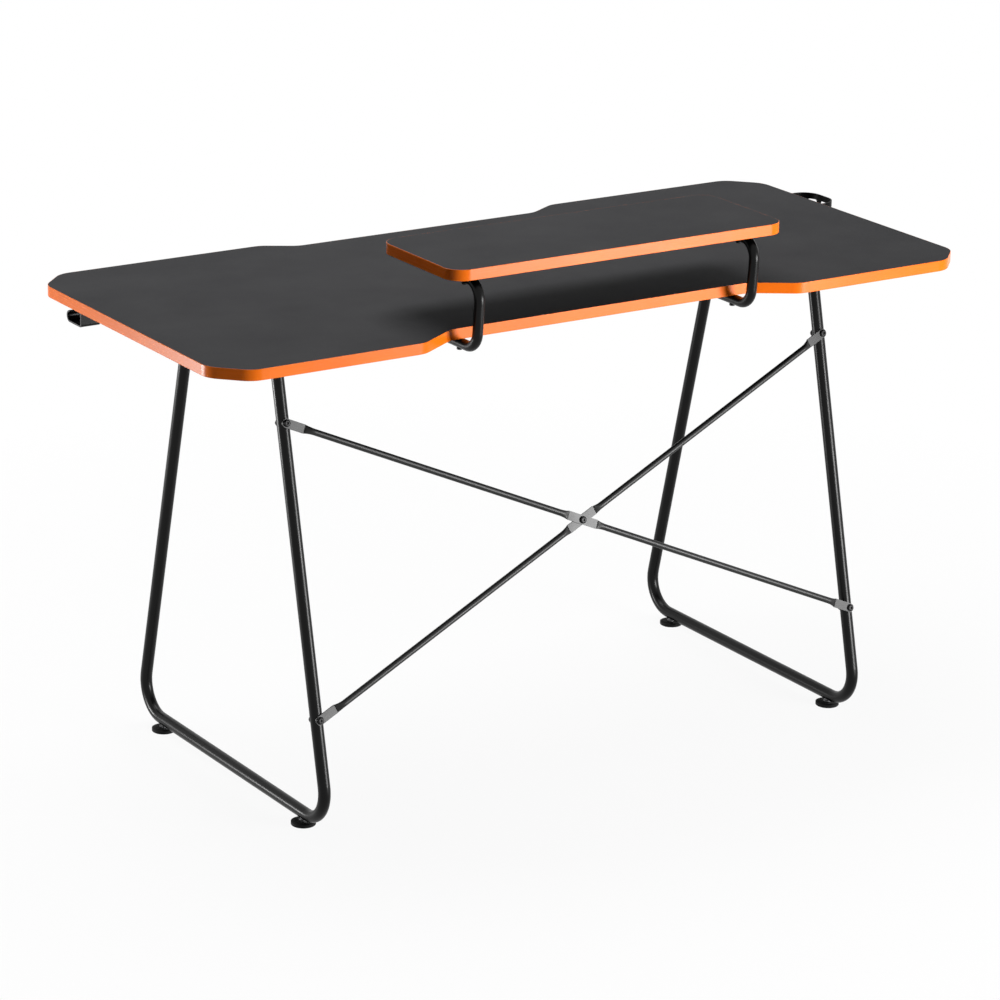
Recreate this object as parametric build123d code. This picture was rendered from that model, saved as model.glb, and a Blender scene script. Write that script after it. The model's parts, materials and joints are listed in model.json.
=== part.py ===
from build123d import *
import os
from math import atan2, cos, degrees, hypot, pi, radians, sin, tan

# A computer desk: a one-piece top with cut corners and shallow recesses in both long edges,
# a raised shelf on two bent tubes, two bent-tube leg frames tied by a bolted cross brace,
# four levelling feet, a slotted cup holder on one end and a headphone hook under the other.
# Millimetres, +Z up, floor at z = 0. The user sits at -Y, the shelf stands at +Y.

# ---------------------------------------------------------------- driving dimensions
# desktop
desk_length = 1350.0
desk_depth = 600.0
desk_height = 750.0
board_t = 17.0
band_t = 0.6                  # glued edge strip
corner_r = 40.0               # rounding at both ends of every corner cut
recess_r = 40.0               # rounding along the recesses
corner_cut = 48.0             # cut of all four corners, measured along both edges
front_recess_mouth = 550.0
front_recess_floor = 445.0
front_recess_depth = 30.0
rear_recess_mouth = 678.0
rear_recess_floor = 540.0
rear_recess_depth = 42.0

# raised shelf
shelf_length = 600.0
shelf_depth = 210.0
shelf_gap = 85.0              # clear height between desktop and shelf
shelf_r = 30.0
shelf_overhang = 6.0          # how far the shelf's rear edge stands behind the desktop's
shelf_shift = -3.5            # shelf's middle off the desktop's, along X

# shelf brackets, bent from tube
bracket_r = 8.0
bracket_wall = 1.2
bracket_bend_r = 27.5
bracket_inset = 52.0          # tube's axis inside the shelf's end
bracket_setback = 1.8         # upright's axis inside the desktop's rear edge, at mid height
bracket_lean = 4.0            # degrees, the upright leans to the rear
bracket_reach = 165.0         # from the upright's axis to the ends of both arms
arm_screw_desk = 50.0         # rear screw of the lower arm, from the upright
arm_screw_shelf = 39.0        # rear screw of the upper arm, from the upright
arm_screw_far = 148.0         # front screw of both arms
cap_rim_t = 2.0
cap_rim_round = 1.0
cap_plug_l = 9.0

# leg frames, bent from tube
leg_r = 9.5
leg_wall = 1.5
leg_bend_r = 50.0
leg_spacing = 985.0
leg_top_y = 119.0             # leg axis at the height of the desktop's upper face
leg_rear_y = 291.0            # where a rear leg's axis would meet the rail's
leg_front_y = 295.0           # the same for a front leg
plate_l = 330.0               # steel plate welded across the tops of one frame's legs
plate_w = 40.0
plate_t = 3.0
plate_screw_outer = 150.0
plate_screw_inner = 70.0

# cross brace
brace_r = 5.0
brace_flat_t = 2.4
brace_flat_w = 14.0
brace_flat_edge = 0.3         # bulge of the flats' long edges
brace_top_drop = 142.0        # upper bolts, measured down the leg from the desktop's upper face
brace_bottom_drop = 586.5     # lower bolts
brace_end_flat = 31.0         # flattened length inwards of an end bolt
brace_mid_flat = 54.0         # flattened length at the crossing
brace_press_l = 16.0          # length over which round becomes flat
bolt_r = 3.0
bolt_head_r = 5.75
bolt_head_h = 3.3
bolt_head_rim = 0.9           # straight side below the dome of the head
bolt_key_af = 4.0             # hexagon socket, across flats
bolt_key_depth = 2.0
nut_af = 10.0
nut_h = 5.0
nut_dome_h = 3.5
nut_shoulder = 0.3            # dome's foot inside the flats
nut_dome_wall = 1.4

# levelling feet
foot_front_y = 223.5
foot_rear_y = 216.5
foot_pad_r = 19.0
foot_pad_h = 6.4
foot_pad_edge = 5.2           # straight side of the pad
foot_pad_break = 0.8          # broken lower edge
foot_pad_flat_r = 13.0        # level top around the hexagon
foot_hex_af = 13.0
foot_hex_h = 2.5
foot_stud_r = 3.7
foot_head_r = 6.0             # disc of the stud, captured in the pad
foot_head_t = 2.0
foot_head_z = 2.4
foot_stud_top = 25.5
foot_stud_tip = 0.8
insert_r = 5.4                # threaded insert in the rail
insert_flange_r = 7.0
insert_flange_t = 0.6
insert_flange_break = 0.2
insert_l = 13.0

# wood screws
screw_r = 2.4
screw_head_r = 4.6
screw_head_h = 2.8
screw_head_round = 1.2
screw_tip = 1.2               # chamfer of the point
screw_bite = 12.0             # length in the board
screw_slot_w = 1.2            # cross recess
screw_slot_l = 5.0
screw_slot_depth = 1.4

# cup holder
cup_w = 84.0                  # square in plan, with rounded corners
cup_corner_r = 30.0
cup_wall = 2.0
cup_depth = 62.0
cup_rim_drop = 5.5            # rim below the desktop's underside
cup_end_gap = 7.5             # cup wall to the desktop's end
cup_front_gap = 99.0          # cup's middle behind the desktop's front edge
cup_slots = 10
cup_slot_turn = 2.3           # degrees that turn the ring of slots off square
cup_slot_w = 16.5
cup_slot_drop = 10.0
cup_slot_h = 32.0
cup_slot_round = 3.0
cup_floor_t = 2.5
cup_floor_round = 4.0         # outside, between wall and floor
cup_drain_r = 12.0
saddle_w = 22.0               # bracket between cup and desktop
saddle_t = 3.0
saddle_h = 42.0
saddle_flange_l = 44.0
saddle_flange_w = 56.0
saddle_flange_t = 2.5
saddle_corner_r = 8.0
saddle_screw_in = 26.0
saddle_screw_gap = 34.0
rivet_r = 2.0
rivet_head_r = 4.0
rivet_head_h = 1.2
rivet_head_round = 0.8
rivet_drop_1 = 12.0
rivet_drop_2 = 30.0

# headphone hook, bent from strip
hook_w = 32.0
hook_t = 2.5
hook_end_gap = 20.0           # strip's outer edge inside the desktop's end
hook_front_gap = 125.0        # web's rear face behind the desktop's front edge
hook_drop = 34.5
hook_arm = 38.0               # web's rear face to the centre of the curled lip
hook_curl_r = 9.25            # outside radius of the curled lip
hook_bend_r = 4.0             # outside radius of the square bends
hook_flange = 30.0
hook_screw_gap = 17.0
hook_screw_back = 17.0

# clearances between pieces that are put together
pilot_clear = 0.1             # screw in its pilot hole
bolt_clear = 0.3              # bolt in a drilled tube
nut_clear = 0.1               # bolt in its nut
plug_clear = 0.1              # cap or insert in a tube
stud_clear = 0.3              # levelling stud in its insert
socket_clear = 0.3            # stud's disc in the pad
rivet_clear = 0.1
join = 0.5                    # depth by which solids of one piece run into each other

# ---------------------------------------------------------------- derived places
half_l = desk_length / 2
half_d = desk_depth / 2
under = desk_height - board_t
shelf_under = desk_height + shelf_gap
shelf_rear = half_d + shelf_overhang
leg_x = leg_spacing / 2
rail_z = foot_pad_h + foot_hex_h + insert_flange_t + leg_r
leg_lean = atan2(leg_rear_y - leg_top_y, desk_height - rail_z)
plate_z = under - plate_t
bracket_x = shelf_length / 2 - bracket_inset
upright_y = half_d - bracket_setback
hole_deep = screw_bite + 1.0
cup_x = -half_l - cup_end_gap - cup_w / 2
cup_y = -half_d + cup_front_gap
cup_rim = under - cup_rim_drop
hook_x = half_l - hook_end_gap - hook_w / 2
hook_web_y = -half_d + hook_front_gap
middle_x = (half_l + cup_x - cup_w / 2) / 2
lean = radians(bracket_lean)
bend_tangent = bracket_bend_r * tan(pi / 4 + lean / 2)
bend_top_y = upright_y + (shelf_under - under) / 2 * tan(lean) - bend_tangent * sin(lean)
rear_reach = bend_top_y + bracket_bend_r * (1 - cos(lean)) + bracket_r
middle_y = (rear_reach - half_d) / 2
to_frame = Pos(-middle_x, -middle_y, 0)     # the middle of the whole stands over the origin
ends = {"left": -1, "right": 1}
sides = {"front": -1, "rear": 1}
foot_ys = {"front": -foot_front_y, "rear": foot_rear_y}


# ---------------------------------------------------------------- small shapes
def at_z(radius, low, high, x=0.0, y=0.0):
    """Upright cylinder from height low to height high."""
    return Pos(x, y, low) * extrude(Circle(radius), high - low)


def tube_along(path, radius, wall):
    """Hollow tube swept along a path."""
    start = Plane(path @ 0, z_dir=path % 0)
    ring = start * (Circle(radius) - Circle(radius - wall))
    return sweep(ring, path=path)


def hexagon(across_flats, low, high):
    """Hexagonal prism whose outer corners are turned off by a shallow cone."""
    circumradius = across_flats / 3 ** 0.5
    prism = Pos(0, 0, low) * extrude(RegularPolygon(circumradius, 6), high - low)
    turned = chamfer(at_z(circumradius, low, high).edges(), circumradius - across_flats / 2)
    return prism & turned


def wood_screw(passes):
    """Pan-head screw pointing up: the head hangs below z = 0 and the shank passes
    through what it clamps, then bites into the board."""
    length = passes + screw_bite
    head = fillet(at_z(screw_head_r, -screw_head_h, 0).edges().sort_by(Axis.Z)[0], screw_head_round)
    slot = Box(screw_slot_l, screw_slot_w, screw_slot_depth)
    slot += Box(screw_slot_w, screw_slot_l, screw_slot_depth)
    head -= Pos(0, 0, -screw_head_h + screw_slot_depth / 2) * slot
    shank = chamfer(at_z(screw_r, -join, length).edges().sort_by(Axis.Z)[-1], screw_tip)
    return head + shank


def pilot(x, y, z):
    """Blind hole for a wood screw, upwards from height z."""
    return at_z(screw_r + pilot_clear, z, z + hole_deep, x, y)


def button_bolt(grip):
    """Button-head bolt along -Z: the head stands on z = 0, the shank is grip long."""
    head = at_z(bolt_head_r, 0, bolt_head_h)
    head = fillet(head.edges().sort_by(Axis.Z)[-1], bolt_head_h - bolt_head_rim)
    key = extrude(RegularPolygon(bolt_key_af / 3 ** 0.5, 6), bolt_key_depth)
    head -= Pos(0, 0, bolt_head_h - bolt_key_depth) * key
    return head + at_z(bolt_r, -grip, join)


def dome_nut():
    """Cap nut below z = 0, bored from its flat face."""
    dome_r = nut_af / 2 - nut_shoulder
    cap = Pos(0, 0, -nut_h) * scale(Sphere(dome_r), (1, 1, nut_dome_h / dome_r))
    cap &= Pos(0, 0, -nut_h - dome_r) * Box(4 * dome_r, 4 * dome_r, 2 * dome_r)
    body = hexagon(nut_af, -nut_h, 0) + cap
    return body - at_z(bolt_r + nut_clear, -nut_h - nut_dome_h + nut_dome_wall, 0)


# ---------------------------------------------------------------- desktop and shelf
def desk_outline():
    """Finished outline of the desktop, anticlockwise, with every corner rounded."""
    front = [
        (-half_l + corner_cut, -half_d),
        (-front_recess_mouth / 2, -half_d),
        (-front_recess_floor / 2, -half_d + front_recess_depth),
        (front_recess_floor / 2, -half_d + front_recess_depth),
        (front_recess_mouth / 2, -half_d),
        (half_l - corner_cut, -half_d),
        (half_l, -half_d + corner_cut),
    ]
    rear = [
        (half_l, half_d - corner_cut),
        (half_l - corner_cut, half_d),
        (rear_recess_mouth / 2, half_d),
        (rear_recess_floor / 2, half_d - rear_recess_depth),
        (-rear_recess_floor / 2, half_d - rear_recess_depth),
        (-rear_recess_mouth / 2, half_d),
        (-half_l + corner_cut, half_d),
        (-half_l, half_d - corner_cut),
        (-half_l, -half_d + corner_cut),
    ]
    recess = [recess_r] * 4
    radii = [corner_r, *recess, *[corner_r] * 4, *recess, *[corner_r] * 3]
    return make_face(FilletPolyline(*front, *rear, radius=radii, close=True))


def banded_board(outline, bottom):
    """A board and the edge strip around it, both board_t thick, standing on height bottom."""
    core = offset(outline, -band_t)
    board = Pos(0, 0, bottom) * extrude(core, board_t)
    band = Pos(0, 0, bottom) * extrude(outline - core, board_t)
    return board, band


def plate_screw_places():
    """Centres of the screws that hold the leg frames."""
    rows = (-plate_screw_outer, -plate_screw_inner, plate_screw_inner, plate_screw_outer)
    return [(end * leg_x, y) for end in ends.values() for y in rows]


def arm_screw_places(rear_gap):
    """Centres of the screws in the bracket arms, for the given rear screw."""
    rows = (upright_y - rear_gap, upright_y - arm_screw_far)
    return [(end * bracket_x, y) for end in ends.values() for y in rows]


def saddle_screw_places():
    x = -half_l + saddle_screw_in
    return [(x, cup_y + side * saddle_screw_gap / 2) for side in sides.values()]


def hook_screw_places():
    y = hook_web_y + hook_screw_back
    return [(hook_x + end * hook_screw_gap / 2, y) for end in ends.values()]


def desktop():
    board, band = banded_board(desk_outline(), under)
    places = plate_screw_places() + arm_screw_places(arm_screw_desk)
    places += saddle_screw_places() + hook_screw_places()
    for x, y in places:
        board -= pilot(x, y, under)
    return board, band


def shelf():
    middle = shelf_rear - shelf_depth / 2
    outline = Pos(shelf_shift, middle) * RectangleRounded(shelf_length, shelf_depth, shelf_r)
    board, band = banded_board(outline, shelf_under)
    for x, y in arm_screw_places(arm_screw_shelf):
        board -= pilot(x, y, shelf_under)
    return board, band


# ---------------------------------------------------------------- shelf brackets
low_arm_z = under - bracket_r
high_arm_z = shelf_under - bracket_r
arm_end_y = upright_y - bracket_reach


def shelf_bracket(x):
    """C-shaped tube: an arm under the desktop, a leaning upright and an arm under the shelf."""
    middle_z = (low_arm_z + high_arm_z) / 2
    shift = (high_arm_z - middle_z) * tan(lean)
    path = FilletPolyline(
        (x, arm_end_y, low_arm_z),
        (x, upright_y - shift, low_arm_z),
        (x, upright_y + shift, high_arm_z),
        (x, arm_end_y, high_arm_z),
        radius=bracket_bend_r,
    )
    tube = tube_along(path, bracket_r, bracket_wall)
    drills = [(arm_screw_desk, low_arm_z), (arm_screw_shelf, high_arm_z)]
    drills += [(arm_screw_far, low_arm_z), (arm_screw_far, high_arm_z)]
    for back, z in drills:
        tube -= at_z(screw_r + bolt_clear, z - 2 * bracket_r, z + 2 * bracket_r, x, upright_y - back)
    return tube


def end_cap(x, z):
    """Plastic plug in the open end of a bracket arm."""
    facing = Plane((x, arm_end_y, z), x_dir=(1, 0, 0), z_dir=(0, -1, 0))
    rim = fillet(extrude(Circle(bracket_r), cap_rim_t).edges().sort_by(Axis.Z)[-1], cap_rim_round)
    plug = extrude(Circle(bracket_r - bracket_wall - plug_clear), -cap_plug_l)
    return facing * (rim + plug)


# ---------------------------------------------------------------- leg frames
def on_leg(drop):
    """Height and y of the point on a rear leg's axis, drop mm down from the desktop's top."""
    return leg_top_y + drop * sin(leg_lean), desk_height - drop * cos(leg_lean)


def leg_frame(x):
    """One tube bent into two splayed legs and a floor rail, cut level under the plate."""
    path = FilletPolyline(
        (x, leg_top_y, desk_height),
        (x, leg_rear_y, rail_z),
        (x, -leg_front_y, rail_z),
        (x, -leg_top_y, desk_height),
        radius=leg_bend_r,
    )
    tube = tube_along(path, leg_r, leg_wall)
    tube -= Pos(x, 0, plate_z + desk_height / 2) * Box(4 * leg_r, desk_depth, desk_height)
    for drop in (brace_top_drop, brace_bottom_drop):
        y, z = on_leg(drop)
        across = Plane((x, y, z), x_dir=(1, 0, 0), z_dir=(0, cos(leg_lean), sin(leg_lean)))
        tube -= across * extrude(Circle(bolt_r + bolt_clear), 2 * leg_r, both=True)
    for y in foot_ys.values():
        tube -= at_z(insert_r + plug_clear, 0, rail_z, x, y)
    return tube


def mount_plate(x):
    plate = Pos(x, 0, plate_z) * extrude(Rot(0, 0, 90) * SlotOverall(plate_l, plate_w), plate_t)
    for px, py in plate_screw_places():
        plate -= at_z(screw_r + bolt_clear, plate_z, under, px, py)
    return plate


# ---------------------------------------------------------------- cross brace
brace_half = hypot(leg_x, (brace_bottom_drop - brace_top_drop) / 2)
brace_turn = degrees(atan2((brace_bottom_drop - brace_top_drop) / 2, leg_x))
end_flat_z = -brace_r + brace_flat_t / 2


def on_brace_plane(x, drop, out):
    """Place on the sloping plane of the rear legs: its X is the desk's, its Y runs down
    the leg and its Z points out of the rear, starting out mm from the legs' axes."""
    plane = Plane(
        (0, leg_top_y, desk_height),
        x_dir=(1, 0, 0),
        z_dir=(0, cos(leg_lean), sin(leg_lean)),
    )
    return plane.location * Pos(x, drop, out)


def pressed_section(x, share, flat_z):
    """Cross-section of the brace at x: share 0 is the round tube, share 1 is pressed flat
    with its middle at height flat_z. In between every size runs straight from one to the
    other. Four edges, so that the loft joins edge to edge."""
    def between(round_value, flat_value):
        return round_value + (flat_value - round_value) * share
    corner = brace_r / 2 ** 0.5
    half_w = between(brace_r, brace_flat_w / 2)
    half_t = between(brace_r, brace_flat_t / 2)
    a = between(corner, brace_flat_w / 2 - brace_flat_edge)
    c = between(corner, brace_flat_t / 2)
    mid = between(0, flat_z)
    right_top, left_top = (a, mid + c), (-a, mid + c)
    left_low, right_low = (-a, mid - c), (a, mid - c)
    if share < 1:
        top = ThreePointArc(right_top, (0, mid + half_t), left_top)
        low = ThreePointArc(left_low, (0, mid - half_t), right_low)
    else:
        top = Line(right_top, left_top)
        low = Line(left_low, right_low)
    left = ThreePointArc(left_top, (-half_w, mid), left_low)
    right = ThreePointArc(right_low, (half_w, mid), right_top)
    place = Plane((x, 0, 0), x_dir=(0, 1, 0), z_dir=(1, 0, 0))
    return place * make_face(top + left + low + right)


def pressing(x_round, x_flat, flat_z):
    """The stretch from round to flat: it leaves the tube smoothly and meets the flat
    in a crease."""
    steps = (0.0, 0.25, 0.5, 0.75, 1.0)
    parts = []
    for s in steps:
        parts.append(pressed_section(x_round + (x_flat - x_round) * s, s * s, flat_z))
    return loft(parts)


def brace_tube(mid_flat_z):
    """Round tube pressed flat at both ends and at the crossing, along X about the origin."""
    end_in = brace_half - brace_end_flat
    end_round = end_in - brace_press_l
    mid_out = brace_mid_flat / 2
    mid_round = mid_out + brace_press_l
    bar = Pos(0, 0, mid_flat_z - brace_flat_t / 2) * extrude(
        Rectangle(brace_mid_flat, brace_flat_w), brace_flat_t)
    for end in ends.values():
        round_part = Plane((end * mid_round, 0, 0), z_dir=(end, 0, 0)) * extrude(
            Circle(brace_r), end_round - mid_round)
        tip = brace_half + brace_flat_w / 2
        flat = SlotOverall(2 * tip, brace_flat_w) & Pos(end * (end_in + tip) / 2, 0) * Rectangle(
            tip - end_in, 2 * brace_flat_w)
        bar += round_part
        bar += Pos(0, 0, end_flat_z - brace_flat_t / 2) * extrude(flat, brace_flat_t)
        bar += pressing(end * end_round, end * end_in, end_flat_z)
        bar += pressing(end * mid_round, end * mid_out, mid_flat_z)
        bar -= at_z(bolt_r + bolt_clear, -2 * brace_r, 2 * brace_r, end * brace_half)
    return bar - at_z(bolt_r + bolt_clear, -2 * brace_r, 2 * brace_r)


def cross_brace():
    middle = on_brace_plane(0, (brace_top_drop + brace_bottom_drop) / 2, leg_r + brace_r)
    outer = middle * Rot(0, 0, -brace_turn) * brace_tube(brace_flat_t / 2)
    inner = middle * Rot(0, 0, brace_turn) * brace_tube(-brace_flat_t / 2)
    return outer, inner


def brace_hardware():
    """Bolts with their heads to the rear, cap nuts on the inner side of the legs."""
    end_grip = brace_flat_t + 2 * leg_r + nut_h
    mid_grip = 2 * brace_flat_t + nut_h
    bolts, nuts = [], []
    for end in ends.values():
        for drop in (brace_top_drop, brace_bottom_drop):
            bolts.append(on_brace_plane(end * leg_x, drop, leg_r + brace_flat_t) * button_bolt(end_grip))
            nuts.append(on_brace_plane(end * leg_x, drop, -leg_r) * dome_nut())
    middle = (brace_top_drop + brace_bottom_drop) / 2
    face = leg_r + brace_r
    centre_bolt = on_brace_plane(0, middle, face + brace_flat_t) * button_bolt(mid_grip)
    centre_nut = on_brace_plane(0, middle, face - brace_flat_t) * dome_nut()
    return bolts, nuts, centre_bolt, centre_nut


# ---------------------------------------------------------------- levelling feet
stud_hole_r = foot_stud_r + socket_clear
head_low = foot_head_z
head_high = foot_head_z + foot_head_t
hex_low = foot_pad_h
hex_high = foot_pad_h + foot_hex_h
insert_low = hex_high
insert_high = rail_z - leg_r + insert_l


def foot_pad():
    """Round plastic pad with a flat top and a soft rim, hollowed for the disc of the stud."""
    under_r = foot_pad_r - foot_pad_break
    rim = Polyline(
        (foot_pad_flat_r, foot_pad_h),
        (0, foot_pad_h),
        (0, 0),
        (under_r, 0),
        (foot_pad_r, foot_pad_break),
        (foot_pad_r, foot_pad_edge),
    )
    rim += TangentArc((foot_pad_flat_r, foot_pad_h), (foot_pad_r, foot_pad_edge), tangent=(1, 0))
    pad = revolve(Plane.XZ * make_face(rim), Axis.Z)
    pad -= at_z(foot_head_r + socket_clear, head_low - socket_clear, head_high + socket_clear)
    return pad - at_z(stud_hole_r, head_high, foot_pad_h)


def foot_stud():
    """Threaded stud: a disc in the pad, a hexagon for the spanner, a shank in the insert."""
    stud = at_z(foot_head_r, head_low, head_high)
    stud += at_z(foot_stud_r, head_high - join, foot_stud_top)
    stud += hexagon(foot_hex_af, hex_low, hex_high)
    return chamfer(stud.edges().sort_by(Axis.Z)[-1], foot_stud_tip)


def foot_insert():
    """Flanged threaded insert pressed into the underside of the rail."""
    body = at_z(insert_r, insert_low + join, insert_high)
    flange = at_z(insert_flange_r, insert_low, insert_low + insert_flange_t)
    flange = chamfer(flange.edges(), insert_flange_break)
    return body + flange - at_z(foot_stud_r + stud_clear, insert_low, insert_high)


# ---------------------------------------------------------------- cup holder
def cup_plan(inset=0.0):
    """The cup's rounded square, inset mm inside its outer wall."""
    width = cup_w - 2 * inset
    return RectangleRounded(width, width, cup_corner_r - inset)


def cup_basket():
    """Slotted basket with a drained floor."""
    floor_z = cup_rim - cup_depth
    shell = Pos(0, 0, floor_z) * extrude(cup_plan(), cup_depth)
    shell = fillet(shell.edges().group_by(Axis.Z)[0], cup_floor_round)
    bore = Pos(0, 0, floor_z + cup_floor_t) * extrude(cup_plan(cup_wall), cup_depth - cup_floor_t)
    shell -= fillet(bore.edges().group_by(Axis.Z)[0], cup_floor_round - cup_wall)
    shell -= at_z(cup_drain_r, floor_z, floor_z + cup_floor_t)
    slot = Plane.YZ * RectangleRounded(cup_slot_w, cup_slot_h, cup_slot_round)
    middle_z = cup_rim - cup_slot_drop - cup_slot_h / 2
    cutter = Pos(cup_w / 4, 0, middle_z) * extrude(slot, cup_w)
    pitch = 360 / cup_slots
    for k in range(cup_slots):
        angle = 180 - cup_slot_turn + k * pitch
        if abs((angle + 180) % 360 - 180) > pitch / 2:
            shell -= Rot(0, 0, angle) * cutter
    for drop in (rivet_drop_1, rivet_drop_2):
        shell -= rivet_hole(drop)
    return Pos(cup_x, cup_y, 0) * shell


def rivet_hole(drop):
    """Hole towards the desktop, drop mm below the rim, for the cup at the origin."""
    place = Plane((0, 0, cup_rim - drop), z_dir=(1, 0, 0))
    return place * extrude(Circle(rivet_r + rivet_clear), cup_w)


def cup_saddle():
    """Angle bracket: a plate against the cup's flat wall and a flange under the desktop."""
    wall_x = cup_x + cup_w / 2
    plate = Pos(wall_x + saddle_t / 2, cup_y, under - saddle_h / 2) * Box(saddle_t, saddle_w, saddle_h)
    middle = wall_x + saddle_t + saddle_flange_l / 2
    plan = Pos(middle, cup_y) * Rectangle(saddle_flange_l, saddle_flange_w)
    plan = fillet(plan.vertices(), saddle_corner_r)
    flange = Pos(0, 0, under - saddle_flange_t) * extrude(plan, saddle_flange_t)
    saddle = plate + flange
    for x, y in saddle_screw_places():
        saddle -= at_z(screw_r + bolt_clear, under - saddle_flange_t, under, x, y)
    for drop in (rivet_drop_1, rivet_drop_2):
        saddle -= Pos(cup_x, cup_y, 0) * rivet_hole(drop)
    return saddle


def cup_rivet(drop):
    """Rivet with a flat head inside the cup and a set head behind the bracket."""
    place = Plane((cup_x, cup_y, cup_rim - drop), z_dir=(1, 0, 0))
    inner = cup_w / 2 - cup_wall
    outer = cup_w / 2 + saddle_t
    shank = Pos(0, 0, inner - rivet_head_h) * extrude(Circle(rivet_r), outer - inner + 2 * rivet_head_h)
    head = Pos(0, 0, inner - rivet_head_h) * extrude(Circle(rivet_head_r), rivet_head_h)
    set_head = Pos(0, 0, outer) * extrude(Circle(rivet_head_r), rivet_head_h)
    return place * (shank + head + fillet(set_head.edges().sort_by(Axis.Z)[-1], rivet_head_round))


# ---------------------------------------------------------------- headphone hook
def headphone_hook():
    """Steel strip: a flange under the desktop, a hanging web, a level arm towards the user
    and a lip curled back over half a turn. The profile lies in the YZ plane."""
    t = hook_t
    floor_z = under - hook_drop
    web_mid = hook_web_y - t / 2
    r_bend = hook_bend_r - t / 2
    r_curl = hook_curl_r - t / 2
    curl_y = hook_web_y - hook_arm
    line = FilletPolyline(
        (hook_web_y + hook_flange, under - t / 2),
        (web_mid, under - t / 2),
        (web_mid, floor_z + t / 2),
        (curl_y, floor_z + t / 2),
        radius=r_bend,
    )
    curl = ThreePointArc(
        (curl_y, floor_z + t / 2),
        (curl_y - r_curl, floor_z + t / 2 + r_curl),
        (curl_y, floor_z + t / 2 + 2 * r_curl),
    )
    across = Plane((hook_x - hook_w / 2, 0, 0), x_dir=(0, 1, 0), z_dir=(1, 0, 0))
    strip = extrude(across * trace(line + curl, t), hook_w)
    for x, y in hook_screw_places():
        strip -= at_z(screw_r + bolt_clear, under - 2 * t, under + t, x, y)
    return strip


# ---------------------------------------------------------------- build and write
def screws(places, z, passes):
    return [Pos(x, y, z) * wood_screw(passes) for x, y in places]


def build():
    nodes = {}
    nodes["desktop_board"], nodes["desktop_edge_band"] = desktop()
    nodes["shelf_board"], nodes["shelf_edge_band"] = shelf()
    nodes["brace_tube_outer"], nodes["brace_tube_inner"] = cross_brace()
    bolts, nuts, centre_bolt, centre_nut = brace_hardware()
    nodes["brace_leg_bolts"] = bolts
    nodes["brace_leg_nuts"] = nuts
    nodes["brace_centre_bolt"] = centre_bolt
    nodes["brace_centre_nut"] = centre_nut
    caps, inserts = [], []
    for end, sx in ends.items():
        nodes["shelf_bracket_" + end] = shelf_bracket(sx * bracket_x)
        nodes["leg_frame_" + end] = leg_frame(sx * leg_x)
        nodes["mount_plate_" + end] = mount_plate(sx * leg_x)
        caps += [end_cap(sx * bracket_x, z) for z in (low_arm_z, high_arm_z)]
        for side, y in foot_ys.items():
            place = Pos(sx * leg_x, y, 0)
            nodes["foot_pad_" + side + "_" + end] = place * foot_pad()
            nodes["foot_stud_" + side + "_" + end] = place * foot_stud()
            inserts.append(place * foot_insert())
    nodes["bracket_end_caps"] = caps
    nodes["foot_inserts"] = inserts
    nodes["leg_plate_screws"] = screws(plate_screw_places(), plate_z, plate_t)
    nodes["bracket_desk_screws"] = screws(
        arm_screw_places(arm_screw_desk), under - 2 * bracket_r, 2 * bracket_r)
    nodes["bracket_shelf_screws"] = screws(
        arm_screw_places(arm_screw_shelf), shelf_under - 2 * bracket_r, 2 * bracket_r)
    nodes["cup_holder"] = cup_basket()
    nodes["cup_holder_bracket"] = cup_saddle()
    nodes["cup_holder_rivets"] = [cup_rivet(rivet_drop_1), cup_rivet(rivet_drop_2)]
    nodes["cup_holder_screws"] = screws(
        saddle_screw_places(), under - saddle_flange_t, saddle_flange_t)
    nodes["headphone_hook"] = headphone_hook()
    nodes["hook_screws"] = screws(hook_screw_places(), under - hook_t, hook_t)
    return nodes


os.makedirs("parts", exist_ok=True)
for name, shape in build().items():
    if isinstance(shape, list):
        shape = Compound([piece.solid() for piece in shape])
    shape = to_frame * shape
    shape.label = name
    export_step(shape, "parts/" + name + ".step")
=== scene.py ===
# %% [markdown]
# # Dressing a computer desk
#
# The solids of this desk were drawn first: a dark top with an orange edge strip, a small
# raised shelf, two bent-tube leg frames, a bolted cross brace, four levelling feet, a cup
# holder and a headphone hook. This lesson keeps those solids exactly where they are, gives
# every one of them a finish that is worked out from its position in space, and adds the
# few things a solid modeller leaves out: rounded edge strips, weld beads and threads.

import bpy
import json
import math
import numpy as np
from mathutils import Matrix, Vector


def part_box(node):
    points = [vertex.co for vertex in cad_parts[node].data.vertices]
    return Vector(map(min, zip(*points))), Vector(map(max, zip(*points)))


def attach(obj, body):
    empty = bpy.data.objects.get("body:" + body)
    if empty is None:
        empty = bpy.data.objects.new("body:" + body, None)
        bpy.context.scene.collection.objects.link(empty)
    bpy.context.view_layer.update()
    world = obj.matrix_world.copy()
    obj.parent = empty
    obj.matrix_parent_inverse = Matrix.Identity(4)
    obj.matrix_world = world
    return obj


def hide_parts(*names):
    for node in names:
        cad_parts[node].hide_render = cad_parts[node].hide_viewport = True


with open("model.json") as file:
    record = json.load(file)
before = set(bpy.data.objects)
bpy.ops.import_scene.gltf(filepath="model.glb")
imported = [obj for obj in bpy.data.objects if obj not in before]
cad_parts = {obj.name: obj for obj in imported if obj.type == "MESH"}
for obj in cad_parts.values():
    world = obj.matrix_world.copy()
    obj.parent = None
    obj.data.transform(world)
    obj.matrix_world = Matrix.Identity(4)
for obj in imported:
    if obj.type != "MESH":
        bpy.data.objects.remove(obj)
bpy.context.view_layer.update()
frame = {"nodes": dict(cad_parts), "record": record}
nodes = frame["nodes"]

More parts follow.
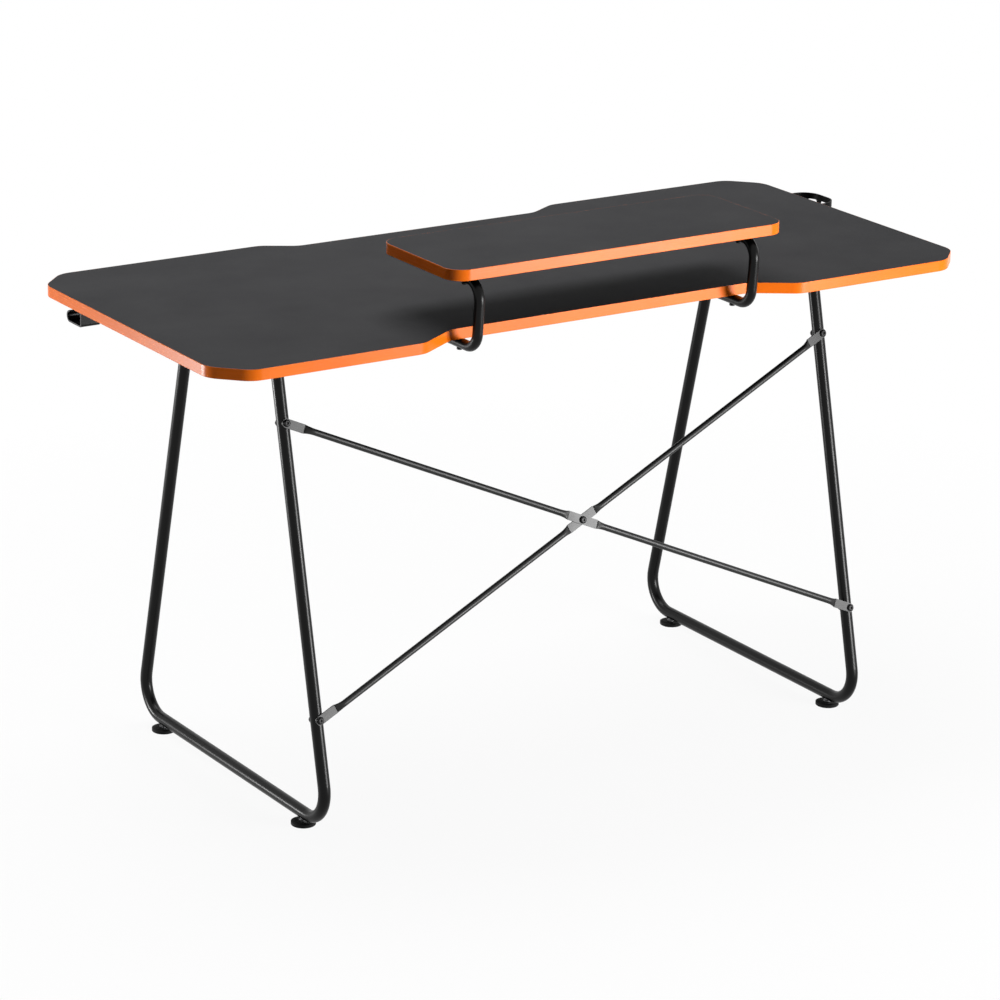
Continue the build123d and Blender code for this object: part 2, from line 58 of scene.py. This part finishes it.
# %% [markdown]
# ## Helpers for finishes
#
# A finish is a small graph of nodes that ends in one Principled shader. Its patterns read
# Object coordinates, which are metres on this desk, so a noise of scale 1000 has grains
# about a millimetre across, and the pattern runs on from one piece to the next. Nearly all
# of a noise lies between 0.3 and 0.7, so those are the ends that most patterns are read
# between.

# %% helpers for finishes
noise_low, noise_high = 0.3, 0.7


def add(tree, kind, inputs=(), **settings):
    """Adds one node. A value in inputs is either a plain number or colour, or the output
    socket of another node, which is then linked."""
    node = tree.nodes.new("ShaderNode" + kind)
    for key, value in settings.items():
        setattr(node, key, value)
    for key, value in dict(inputs).items():
        if isinstance(value, bpy.types.NodeSocket):
            tree.links.new(value, node.inputs[key])
        else:
            node.inputs[key].default_value = value
    return node


def new_finish(name, **sockets):
    """A material with its Principled shader; sockets sets its uniform values by name, with
    an underscore for each space."""
    mat = bpy.data.materials.new(name)
    mat.use_nodes = True
    bsdf = mat.node_tree.nodes["Principled BSDF"]
    for key, value in sockets.items():
        bsdf.inputs[key.replace("_", " ")].default_value = value
    coords = add(mat.node_tree, "TexCoord").outputs["Object"]
    return mat, mat.node_tree, bsdf, coords


def noise(tree, coords, scale, detail=2.0, rough=0.5):
    """Smooth random pattern between 0 and 1, scale grains to the metre."""
    inputs = {"Vector": coords, "Scale": scale, "Detail": detail, "Roughness": rough}
    return add(tree, "TexNoise", inputs).outputs[0]


def ramp(tree, value, first, last, low=noise_low, high=noise_high):
    """Maps value from low..high onto first..last, numbers or colours alike."""
    if isinstance(first, (int, float)):
        node = add(tree, "MapRange", {"Value": value, "From Min": low, "From Max": high,
                                      "To Min": first, "To Max": last})
        return node.outputs[0]
    share = add(tree, "MapRange", {"Value": value, "From Min": low, "From Max": high})
    node = add(tree, "Mix", data_type="RGBA")
    tree.links.new(share.outputs[0], node.inputs[0])
    node.inputs[6].default_value = (*first, 1)
    node.inputs[7].default_value = (*last, 1)
    return node.outputs[2]


def relief(tree, bsdf, height, depth, strength, below=None):
    """Bump: height is a 0..1 pattern, depth the metres between its lows and highs. A relief
    that is given as below is the ground that this one stands on."""
    node = add(tree, "Bump", {"Height": height, "Distance": depth, "Strength": strength})
    if below is not None:
        tree.links.new(below, node.inputs["Normal"])
    tree.links.new(node.outputs[0], bsdf.inputs["Normal"])
    return node.outputs[0]


finishes = {}


def keep_finish(slot, mat):
    """Puts a finish in the table, under the material slot of the record that takes it."""
    finishes[slot] = mat
    print(slot, "takes", mat.name, "of", len(mat.node_tree.nodes), "nodes")


# %% [markdown]
# ## The laminate of the desktop and the shelf
#
# Both boards are faced with a charcoal laminate that is pressed with a pebble grain, like
# fine leather. Three patterns make it: cells about a millimetre across for the pebbles, a
# grain of two or three millimetres that breaks up their rows and their gloss, and a slow
# drift that lets the grey change a little over a hand's width, as on any pressed sheet.


# %% laminate
def laminate():
    mat, tree, bsdf, xyz = new_finish("charcoal_laminate", Specular_IOR_Level=0.04)
    dark, light = (0.034, 0.034, 0.036), (0.048, 0.048, 0.050)
    drift = noise(tree, xyz, 9, detail=3.0)
    grain = noise(tree, xyz, 420, detail=3.0, rough=0.65)
    both = add(tree, "Math", {0: drift, 1: grain}, operation="MULTIPLY").outputs[0]
    colour = ramp(tree, both, dark, light, low=0.12, high=0.42)
    tree.links.new(colour, bsdf.inputs["Base Color"])
    tree.links.new(ramp(tree, grain, 0.58, 0.72), bsdf.inputs["Roughness"])
    pebbles = add(tree, "TexVoronoi", {"Vector": xyz, "Scale": 850.0}, feature="SMOOTH_F1")
    first = relief(tree, bsdf, pebbles.outputs[0], depth=0.00012, strength=0.6)
    relief(tree, bsdf, grain, depth=0.00008, strength=0.5, below=first)
    return mat


keep_finish("board_dark", laminate())

# %% [markdown]
# ## The orange edge strip
#
# The strip is extruded plastic, glued on hot. It is semi-gloss and orange right through,
# with faint lines along its length from the extruder and a slight ripple where the glue
# pulled it to the board. The lines are a noise that is squeezed sixty times in height.


# %% orange plastic
def orange_plastic():
    mat, tree, bsdf, xyz = new_finish("orange_edge_plastic", Specular_IOR_Level=0.12)
    dark, light = (0.92, 0.168, 0.006), (0.98, 0.192, 0.007)
    squeezed = add(tree, "Mapping", {"Vector": xyz, "Scale": (1.0, 1.0, 60.0)}).outputs[0]
    lines = noise(tree, squeezed, 28, detail=3.0)
    drift = noise(tree, xyz, 14)
    ripple = noise(tree, xyz, 160, detail=1.0)
    tree.links.new(ramp(tree, drift, dark, light), bsdf.inputs["Base Color"])
    tree.links.new(ramp(tree, lines, 0.22, 0.30), bsdf.inputs["Roughness"])
    first = relief(tree, bsdf, lines, depth=0.00003, strength=0.4)
    relief(tree, bsdf, ripple, depth=0.00004, strength=0.3, below=first)
    return mat


keep_finish("edge_orange", orange_plastic())

# %% [markdown]
# ## Black powder coat
#
# Tubes and brackets are powder coated: the powder melts into a skin with a very shallow
# orange peel, and its gloss drifts over a few centimetres with the thickness of the coat.
# One recipe makes three coats. The frame's is the smoothest and gives narrow streaks of
# light, the thin brace tubes' is satin and gives broad ones, and the cup holder's is dull.


# %% powder coat
def powder_coat(name, dark, light, rough, peel, sheen):
    """dark and light are the greys that the coat drifts between, rough is its roughness,
    peel the depth of its orange peel in metres, and sheen the strength of its shine."""
    mat, tree, bsdf, xyz = new_finish(name, Specular_IOR_Level=sheen)
    hills = noise(tree, xyz, 900, rough=0.55)
    drift = noise(tree, xyz, 22)
    tree.links.new(ramp(tree, drift, (dark,) * 3, (light,) * 3), bsdf.inputs["Base Color"])
    tree.links.new(ramp(tree, drift, rough - 0.03, rough + 0.04), bsdf.inputs["Roughness"])
    relief(tree, bsdf, hills, depth=peel, strength=0.6)
    return mat


frame_coat = powder_coat("black_powder_coat", dark=0.0005, light=0.0015,
                         rough=0.30, peel=0.000003, sheen=0.16)
brace_coat = powder_coat("brace_black_coat", dark=0.0005, light=0.0015,
                         rough=0.42, peel=0.000003, sheen=0.36)
cup_coat = powder_coat("satin_black_coat", dark=0.001, light=0.003,
                       rough=0.40, peel=0.000012, sheen=0.06)
keep_finish("frame_black", frame_coat)
keep_finish("cup_black", cup_coat)

# %% [markdown]
# ## Moulded plastic, plated steel and blackened steel
#
# Foot pads and tube plugs are moulded with a spark-eroded matt skin. Studs and inserts
# are zinc plated, with small cloudy patches, and their greys are painted darker than
# bright zinc: a painted shade for studs that sit in the shadow of the rails. Screws, bolts
# and rivets are blackened steel, whose oxide is cloudy too and changes the gloss from
# patch to patch.


# %% small-part finishes
def moulded_plastic():
    mat, tree, bsdf, xyz = new_finish("black_moulded_plastic", Specular_IOR_Level=0.10)
    dark, light = (0.003, 0.003, 0.003), (0.007, 0.007, 0.007)
    skin = noise(tree, xyz, 1600, rough=0.6)
    drift = noise(tree, xyz, 60)
    tree.links.new(ramp(tree, drift, dark, light), bsdf.inputs["Base Color"])
    tree.links.new(ramp(tree, skin, 0.42, 0.58), bsdf.inputs["Roughness"])
    relief(tree, bsdf, skin, depth=0.00005, strength=0.5)
    return mat


def cloudy_steel(name, dark, light, smooth, rough, patches, detail, grit, **sockets):
    """Steel whose skin lies in cloudy patches, so many to the metre, whose colour goes from
    dark to light while their roughness goes from smooth to rough. A fine grit of so many
    grains to the metre covers all of it."""
    mat, tree, bsdf, xyz = new_finish(name, **sockets)
    cloud = noise(tree, xyz, patches, detail, rough=0.6)
    grains = noise(tree, xyz, grit)
    tree.links.new(ramp(tree, cloud, dark, light), bsdf.inputs["Base Color"])
    tree.links.new(ramp(tree, cloud, smooth, rough), bsdf.inputs["Roughness"])
    relief(tree, bsdf, grains, depth=0.00002, strength=0.4)
    return mat


# Greys darker than bright zinc: a painted shade for the studs, which sit in the shadow of the
# rails.
zinc_darkened_as_shade = cloudy_steel("zinc_steel_with_painted_shade", dark=(0.16, 0.16, 0.16), light=(0.24, 0.24, 0.25),
                      smooth=0.26, rough=0.42, patches=240, detail=4.0, grit=2500,
                      Metallic=1.0)
blackened = cloudy_steel("blackened_steel", dark=(0.003, 0.003, 0.003),
                         light=(0.008, 0.008, 0.009), smooth=0.28, rough=0.44, patches=400,
                         detail=3.0, grit=3000, Specular_IOR_Level=0.14)
keep_finish("plastic_black", moulded_plastic())
keep_finish("zinc_steel", zinc_darkened_as_shade)
keep_finish("black_fastener", blackened)
keep_finish("rivet_black", blackened)

# %% [markdown]
# ## Giving each solid its finish
#
# The record says which material slot each node takes, so one pass over the nodes dresses
# them all. The two brace tubes share the frame's slot, but get their own satin coat.

# %% dress the solids
slot_of = {part["node"]: part["material_slot"] for part in frame["record"]["subparts"]}
for name, obj in nodes.items():
    finish = brace_coat if name.startswith("brace_tube") else finishes[slot_of[name]]
    obj.data.materials.clear()
    obj.data.materials.append(finish)
print("finishes given to", len(nodes), "solids")

# %% [markdown]
# ## Carrying a profile along a path
#
# The edge strips, the weld beads and the threads are all one kind of surface: a small
# closed profile that is carried along a path. On a grid of two parameters, the first
# runs along the path and the second runs round the profile, so the whole surface is one
# numpy array of points, and its faces are the cells of the grid.


# %% from a grid of points to an object
def grid_faces(rows, columns, offset=0):
    """Cells of a grid that is closed both ways: cell (i, j) joins its four neighbours."""
    i, j = np.meshgrid(np.arange(rows), np.arange(columns), indexing="ij")
    k, m = (i + 1) % rows, (j + 1) % columns
    cells = np.stack([i * columns + j, k * columns + j, k * columns + m, i * columns + m], -1)
    return offset + cells.reshape(-1, 4)


def new_piece(name, points, faces, slot, body, smooth_below):
    """Turns points (n, 3) and faces (m, 4) into an object that rides on a body. Edges
    sharper than smooth_below degrees stay sharp."""
    mesh = bpy.data.meshes.new(name)
    mesh.from_pydata(points, [], faces)
    mesh.polygons.foreach_set("use_smooth", np.ones(len(faces), bool))
    mesh.set_sharp_from_angle(angle=math.radians(smooth_below))
    mesh.materials.append(finishes[slot])
    piece = bpy.data.objects.new(name, mesh)
    bpy.context.scene.collection.objects.link(piece)
    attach(piece, body)
    print(name, len(points), "points,", len(faces), "faces")
    return piece


# %% [markdown]
# ## Edge strips with softened arrises
#
# The solid strips have knife edges, which no trimmed plastic strip has. After gluing, the
# strip is routed flush and its two long arrises are eased to a radius of about half a
# millimetre, and that is what catches the thin line of light along the top. The outline
# is a polygon whose corners are rounded: each corner gets an arc that touches both of its
# sides, which is how the solid was drawn, so the strip lands on the board exactly.


# %% rounded outline
def rounded_outline(corners, radius, step=math.radians(3.0)):
    """Points and outward directions along a polygon that runs anticlockwise. At each
    corner, an arc of the given radius starts and ends radius * tan(turn / 2) from it, and
    has a point for about every step of its turn."""
    corners = np.asarray(corners, float)
    before = corners - np.roll(corners, 1, 0)
    after = np.roll(corners, -1, 0) - corners
    head_in = np.arctan2(before[:, 1], before[:, 0])
    turn = (np.arctan2(after[:, 1], after[:, 0]) - head_in + math.pi) % (2 * math.pi) - math.pi
    points, outwards = [], []
    for corner, start, angle in zip(corners, head_in, turn):
        side = math.copysign(1.0, angle)
        reach = radius * math.tan(abs(angle) / 2)
        touch = corner - reach * np.array((math.cos(start), math.sin(start)))
        middle = touch + side * radius * np.array((-math.sin(start), math.cos(start)))
        head = start + angle * np.linspace(0, 1, max(3, round(abs(angle) / step) + 1))
        out = np.stack([np.sin(head), -np.cos(head)], 1)
        points.append(middle + side * radius * out)
        outwards.append(out)
    return np.concatenate(points), np.concatenate(outwards)


# %% the strip's section, carried round an outline
strip_thickness, strip_height, strip_arris = 0.0006, 0.017, 0.00055


def strip_section():
    """Closed section of the strip as (outward, up): 0 is the outer face and the lower edge.
    The two outer corners are quarter circles with the radius of the arris. One more point a
    little way in from each keeps the flat face between them flat to the light, because
    smooth shading blends the directions of the faces that meet at a point."""
    arris, height = strip_arris, strip_height
    bend = np.linspace(0, math.pi / 2, 7)
    low = np.stack([-arris + arris * np.sin(bend), arris - arris * np.cos(bend)], 1)
    high = np.stack([-arris + arris * np.cos(bend), height - arris + arris * np.sin(bend)], 1)
    hold = [(0, 1.5 * arris), (0, height - 1.5 * arris)]
    return np.concatenate([[(-strip_thickness, 0)], low, hold, high,
                           [(-strip_thickness, height)]])


def edge_strip(name, corners, radius, bottom, replaces):
    """Carries the strip's section round a rounded outline: point (i, j) is outline point i
    moved along its outward direction and up by section point j."""
    path, out = rounded_outline(corners, radius)
    section = strip_section()
    xy = path[:, None] + out[:, None] * section[None, :, :1]
    z = np.broadcast_to(bottom + section[None, :, 1:], (*xy.shape[:2], 1))
    points = np.concatenate([xy, z], 2).reshape(-1, 3)
    faces = grid_faces(len(path), len(section))
    piece = new_piece(name, points, faces, "edge_orange", "desk", smooth_below=50)
    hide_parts(replaces)


# %% [markdown]
# The desktop is the same on its left and right, so its corners are listed for one half and
# mirrored for the other. They run from the front recess round the right-hand end to the
# rear recess. A recess has a mouth on the desktop's edge and a floor further in, and its
# lengths are halves, measured from the middle. The shelf is a plain rectangle, so its
# corners are those of its box.

# %% the desktop's strip
corner_cut, desktop_rounding = 0.048, 0.040
front_mouth, front_floor, front_depth = 0.275, 0.2225, 0.030
rear_mouth, rear_floor, rear_depth = 0.339, 0.270, 0.042
low, high = (np.array(c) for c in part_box("desktop_edge_band"))
half_length, half_depth = (high - low)[:2] / 2
right_half = np.array([
    (front_floor, front_depth - half_depth), (front_mouth, -half_depth),
    (half_length - corner_cut, -half_depth), (half_length, corner_cut - half_depth),
    (half_length, half_depth - corner_cut), (half_length - corner_cut, half_depth),
    (rear_mouth, half_depth), (rear_floor, half_depth - rear_depth)])
left_half = right_half[::-1] * (-1, 1)
corners = np.concatenate([right_half, left_half]) + ((low + high) / 2)[:2]
edge_strip("desktop_edge_strip", corners, desktop_rounding, low[2], "desktop_edge_band")

# %% the shelf's strip
shelf_rounding = 0.030
low, high = (np.array(c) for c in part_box("shelf_edge_band"))
corners = [(low[0], low[1]), (high[0], low[1]), (high[0], high[1]), (low[0], high[1])]
edge_strip("shelf_edge_strip", corners, shelf_rounding, low[2], "shelf_edge_band")

# %% [markdown]
# ## Weld beads
#
# Each leg is welded all round to the plate above it. A weld is a row of overlapping
# drops, so the bead is a ring whose thickness swells and shrinks a few dozen times on
# its way round. The leg leans, so the plate cuts it in an ellipse that is longer along Y.

# %% weld beads
leg_radius, desk_height, rail_height = 0.0095, 0.750, 0.019
top_reach = 0.119                     # from the middle to a leg's axis at desk height
rail_reach = {-1: 0.295, 1: 0.291}    # the same at the floor rail, front and rear leg
bead_radius, drops = 0.0019, 34


def weld_beads():
    """Four rings. Point (i, j) of one ring is the ellipse at angle t, moved by the bead's
    radius along cos(p) outwards and sin(p) down. That radius swells by a tenth with each
    drop, whose crests bow like the ripples of a weld, and by 6 % five times round."""
    rows, columns = 8 * drops, 14       # eight steps to each drop
    t = np.linspace(0, 2 * math.pi, rows, endpoint=False)[:, None]
    p = np.linspace(0, 2 * math.pi, columns, endpoint=False)[None, :]
    bead = bead_radius * (1 + 0.10 * np.sin(drops * t + 1.2 * np.cos(p)))
    bead = bead * (1 + 0.06 * np.sin(5 * t))
    points, faces = [], []
    for end in ("left", "right"):
        leg_low, leg_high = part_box("leg_frame_" + end)
        plate_low, plate_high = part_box("mount_plate_" + end)
        centre_x = (leg_low.x + leg_high.x) / 2
        centre_y = (plate_low.y + plate_high.y) / 2
        for side, reach in rail_reach.items():
            lean = math.atan2(reach - top_reach, desk_height - rail_height)
            below_top = desk_height - plate_low.z
            leg_y = centre_y + side * (top_reach + below_top * math.tan(lean))
            x = centre_x + (leg_radius + bead * np.cos(p)) * np.cos(t)
            y = leg_y + (leg_radius / math.cos(lean) + bead * np.cos(p)) * np.sin(t)
            z = plate_low.z - bead * np.sin(p) + 0 * t
            faces.append(grid_faces(rows, columns, rows * columns * len(points)))
            points.append(np.stack([x, y, z], -1).reshape(-1, 3))
    points, outward = np.concatenate(points), np.concatenate(faces)[:, ::-1]
    new_piece("leg_weld_beads", points, outward, "frame_black", "desk", smooth_below=80)


weld_beads()

# %% [markdown]
# ## Threads of the levelling studs
#
# The solids' studs are plain pins. The real ones are screws, whose thread shows between
# the rail and the hexagon when a foot is wound out. The thread is a height over a
# cylinder: it rises and falls once per pitch of 1.25 mm, and the pattern climbs by one
# pitch each turn, which makes it a right-hand screw.

# %% threads
pitch, root, depth = 0.00125, 0.00372, 0.00022
above_disc = 0.0060      # from the stud's lowest point to just inside its hexagon
below_tip = 0.0009       # from the stud's tip to just under its chamfer
run_out = 0.0012         # height over which the thread fades at both ends
tuck = 0.0004            # how far the ends of the thread's skin reach into the pin


def stud_thread(side, end):
    """Point (i, j) lies at angle t and height z. Its radius is the root's plus the depth
    times a ridge, 1 at the crest and 0 at the root, of z / pitch - t / turn. Crest and
    root are clipped flat. Two more columns close the grid inside the pin."""
    around, along = 36, 170
    stud_low, stud_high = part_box(f"foot_stud_{side}_{end}")
    centre = (stud_low + stud_high) / 2
    first, last = stud_low.z + above_disc, stud_high.z - below_tip
    t = np.linspace(0, 2 * math.pi, around, endpoint=False)[:, None]
    z = np.linspace(first, last, along)[None, :]
    phase = (z / pitch - t / (2 * math.pi)) % 1.0
    ridge = 1 - np.abs(2 * phase - 1)
    ridge = np.clip(1.3 * ridge - 0.15, 0, 1)
    taper = np.clip(np.minimum(z - first, last - z) / run_out, 0, 1)
    radius = root + depth * ridge * taper
    radius = np.concatenate([radius, np.full((around, 2), root - tuck)], 1)
    z = np.concatenate([z, [[last, first]]], 1)
    x, y = centre.x + radius * np.cos(t), centre.y + radius * np.sin(t)
    points = np.stack([x, y, z + 0 * t], -1).reshape(-1, 3)
    faces = grid_faces(around, along + 2)
    new_piece(f"stud_thread_{side}_{end}", points, faces, "zinc_steel",
              f"stud_{side}_{end}", smooth_below=60)


for side in ("front", "rear"):
    for end in ("left", "right"):
        stud_thread(side, end)

# %% [markdown]
# ## The studio
#
# The floor and the world are white to the camera and to reflections, and the floor takes
# a faint shadow. What they throw onto the desk is weak, so that the lamps shape it. There
# are three: a broad one overhead, a low one behind the desk that lights the rear edges and
# draws a streak down the rear legs, and a low one in front and to the right that lights
# the right-hand end. Low lamps reach the upright faces and leave the level ones alone.


# %% floor
def seen_as_white(tree):
    """The Light Path node, and a socket that is 1 for rays from the camera, from a gloss
    and through glass, and 0 for the soft light that falls on the desk."""
    path = add(tree, "LightPath")
    seen = path.outputs["Is Camera Ray"]
    for kind in ("Is Glossy Ray", "Is Transmission Ray"):
        inputs = {0: seen, 1: path.outputs[kind]}
        seen = add(tree, "Math", inputs, operation="MAXIMUM").outputs[0]
    return path, seen


def floor_finish():
    """Shaded white, of which the camera sees 7 % near the desk and nothing further out. The
    rest lets the white world through, so the desk can be viewed from underneath, and a foot
    that is wound out below floor level stays in sight. Reflections see plain white. What the
    floor throws back up onto the desk is a mid grey, as in a room with a dark ceiling."""
    mat = bpy.data.materials.new("studio_floor")
    mat.use_nodes = True
    tree = mat.node_tree
    tree.nodes.clear()
    path, seen = seen_as_white(tree)
    from_camera = path.outputs["Is Camera Ray"]
    where = add(tree, "TexCoord").outputs["Object"]
    far = add(tree, "VectorMath", {0: where}, operation="LENGTH").outputs["Value"]
    share = ramp(tree, far, 0.93, 1.0, low=0.6, high=1.8)
    white_share = add(tree, "Math", {0: seen, 1: share}, operation="MULTIPLY").outputs[0]
    tone = ramp(tree, from_camera, 0.30, 1.0, low=0, high=1)
    lit = add(tree, "BsdfDiffuse", {"Color": tone}).outputs[0]
    clear = add(tree, "BsdfTransparent").outputs[0]
    white = add(tree, "Emission", {"Color": (1, 1, 1, 1), "Strength": 1.0}).outputs[0]
    plain = add(tree, "MixShader", {0: from_camera, 1: white, 2: clear}).outputs[0]
    mixed = add(tree, "MixShader", {0: white_share, 1: lit, 2: plain}).outputs[0]
    add(tree, "OutputMaterial", {0: mixed})
    return mat


far_edge = 25
square = [(-far_edge, -far_edge, 0), (far_edge, -far_edge, 0),
          (far_edge, far_edge, 0), (-far_edge, far_edge, 0)]
mesh = bpy.data.meshes.new("studio_floor")
mesh.from_pydata(square, [], [(0, 1, 2, 3)])
mesh.materials.append(floor_finish())
floor = bpy.data.objects.new("studio_floor", mesh)
bpy.context.scene.collection.objects.link(floor)
print("floor of", 2 * far_edge, "m each way")

# %% world
world = bpy.context.scene.world or bpy.data.worlds.new("studio")
bpy.context.scene.world = world
world.use_nodes = True
tree = world.node_tree
tree.nodes.clear()
seen = seen_as_white(tree)[1]
fill = add(tree, "Background", {"Color": (1, 1, 1, 1), "Strength": 0.05}).outputs[0]
white = add(tree, "Background", {"Color": (1, 1, 1, 1), "Strength": 1.0}).outputs[0]
mixed = add(tree, "MixShader", {0: seen, 1: fill, 2: white}).outputs[0]
add(tree, "OutputWorld", {0: mixed})
print("world of", len(tree.nodes), "nodes")


# %% lamps
def lamp(name, place, aim, width, height, watts):
    """A rectangular soft lamp that faces the point aim."""
    data = bpy.data.lights.new(name, "AREA")
    data.shape = "RECTANGLE"
    data.size = width
    data.size_y = height
    data.energy = watts
    obj = bpy.data.objects.new(name, data)
    bpy.context.scene.collection.objects.link(obj)
    obj.location = place
    obj.rotation_euler = (Vector(aim) - Vector(place)).to_track_quat("-Z", "Y").to_euler()
    obj.visible_camera = False
    print(name, "lamp of", watts, "W at", place)


lamp("overhead", (0.1, -0.9, 3.0), (0, 0, 0.7), width=2.4, height=1.4, watts=60)
lamp("side_rear", (-1.5, 2.8, 0.50), (0, 0.1, 0.6), width=1.1, height=0.95, watts=130)
lamp("side_front", (2.35, -1.53, 0.15), (0.5, 0, 0.3), width=0.85, height=0.26, watts=46)

# %% [markdown]
# ## The camera
#
# A long lens stands six metres off, beyond the right-hand rear corner, and looks 17 degrees
# down. Its axes are worked out from the direction that it looks in: level is the way to
# the right of an upright camera, and a roll of one degree turns it about that direction.
# The small lens shift moves the desk to the middle of the frame and turns nothing.

# %% camera
desktop_low, desktop_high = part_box("desktop_edge_band")
under_desktop = np.array((desktop_low + desktop_high) / 2) * (1, 1, 0)
eye = under_desktop + (3.30596, 5.03235, 2.35538)
forward = np.array((-0.520577, -0.803358, -0.289199))
forward /= np.linalg.norm(forward)
roll = math.radians(-1.01)
level = np.cross(forward, (0, 0, 1))
level /= np.linalg.norm(level)
right = level * math.cos(roll) + np.cross(forward, level) * math.sin(roll)
up = -np.cross(forward, right)
axes = np.stack([right, up, -forward], 1)

sensor_width = 36
camera_data = bpy.data.cameras.new("camera")
camera_data.sensor_width = sensor_width
camera_data.lens = 4.0105 * sensor_width
camera_data.shift_x = 0.01715
camera_data.shift_y = -0.10213
camera_data.clip_end = 100
camera = bpy.data.objects.new("camera", camera_data)
bpy.context.scene.collection.objects.link(camera)
camera.matrix_world = Matrix([(*row, e) for row, e in zip(axes, eye)] + [(0, 0, 0, 1)])
bpy.context.scene.camera = camera
bpy.context.scene.view_settings.view_transform = "Standard"
print("camera at", eye.round(3), "lens", round(camera_data.lens, 1), "mm")
